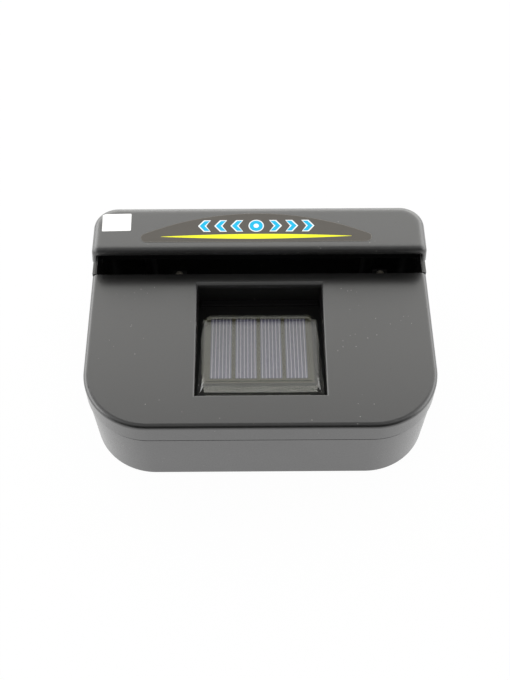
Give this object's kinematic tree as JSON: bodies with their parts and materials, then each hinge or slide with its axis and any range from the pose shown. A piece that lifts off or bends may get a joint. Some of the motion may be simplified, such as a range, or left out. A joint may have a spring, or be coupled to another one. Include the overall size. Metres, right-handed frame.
{
  "type": "solar car window fan",
  "caption": "Flat black ventilator that hangs inside a car's side window: a solar cell panel in its face drives a centrifugal blower that sends cabin air out under a hood over the glass.",
  "frame": {"origin": "middle of the footprint on the back face, with the housing lying on its back", "axes": "+Z out of the front face that rests on the window glass, +Y up in use towards the hood, +X to the right as the front face is seen with the hood at the top"},
  "size_m": [0.17, 0.121, 0.0655],
  "materials": {
    "housing_plastic": "fine satin texture, black ABS",
    "inner_plastic": "plain moulded, black ABS",
    "wheel_plastic": "plain moulded, dark grey",
    "clear_lens": "polished clear acrylic",
    "silicon": "dark blue-grey wafer",
    "silver_print": "printed silver",
    "board": "dark laminate",
    "zinc_steel": "zinc plated",
    "motor_steel": "nickel plated can",
    "motor_plastic": "natural nylon",
    "brass_strip": "stamped strip",
    "bronze": "sintered bronze, oiled",
    "ferrite": "sintered ferrite",
    "core_steel": "stacked laminations",
    "copper_wire": "enamelled copper",
    "copper_bar": "turned copper",
    "shaft_steel": "ground steel",
    "red_insulation": "red PVC",
    "black_insulation": "black PVC",
    "solder": "solder",
    "foam": "closed-cell foam",
    "decal_film": "printed clear film",
    "white_label": "blank sticker"
  },
  "bodies": {
    "housing": {"rear_shell": "housing_plastic", "front_cover": "housing_plastic", "hood": "housing_plastic", "outlet_louvre": "inner_plastic", "solar_lens": "clear_lens", "solar_cells": "silicon", "cell_fingers": "silver_print", "cell_ribbons": "silver_print", "cell_board": "board", "panel_tray": "inner_plastic", "tray_screws": "zinc_steel", "scroll_casing": "inner_plastic", "scroll_lid": "inner_plastic", "scroll_screws": "zinc_steel", "ear_screws": "zinc_steel", "inlet_seal": "foam", "motor_can": "motor_steel", "motor_end_cap": "motor_plastic", "motor_terminals": "brass_strip", "motor_brushes": "brass_strip", "motor_bushes": "bronze", "motor_magnets": "ferrite", "motor_screws": "zinc_steel", "lead_red": "red_insulation", "lead_black": "black_insulation", "solder_joints": "solder", "case_screws": "zinc_steel", "hood_screws": "zinc_steel", "hood_decal": "decal_film", "blank_label": "white_label"},
    "rotor": {"fan_wheel": "wheel_plastic", "motor_shaft": "shaft_steel", "armature_core": "core_steel", "armature_coils": "copper_wire", "commutator": "copper_bar"}
  },
  "joints": [
    {"name": "fan_spin", "type": "hinge", "parent": "housing", "child": "rotor", "pos_m": [0, -0.0105, 0.015], "axis": [0, 0, 1], "continuous": true}
  ]
}
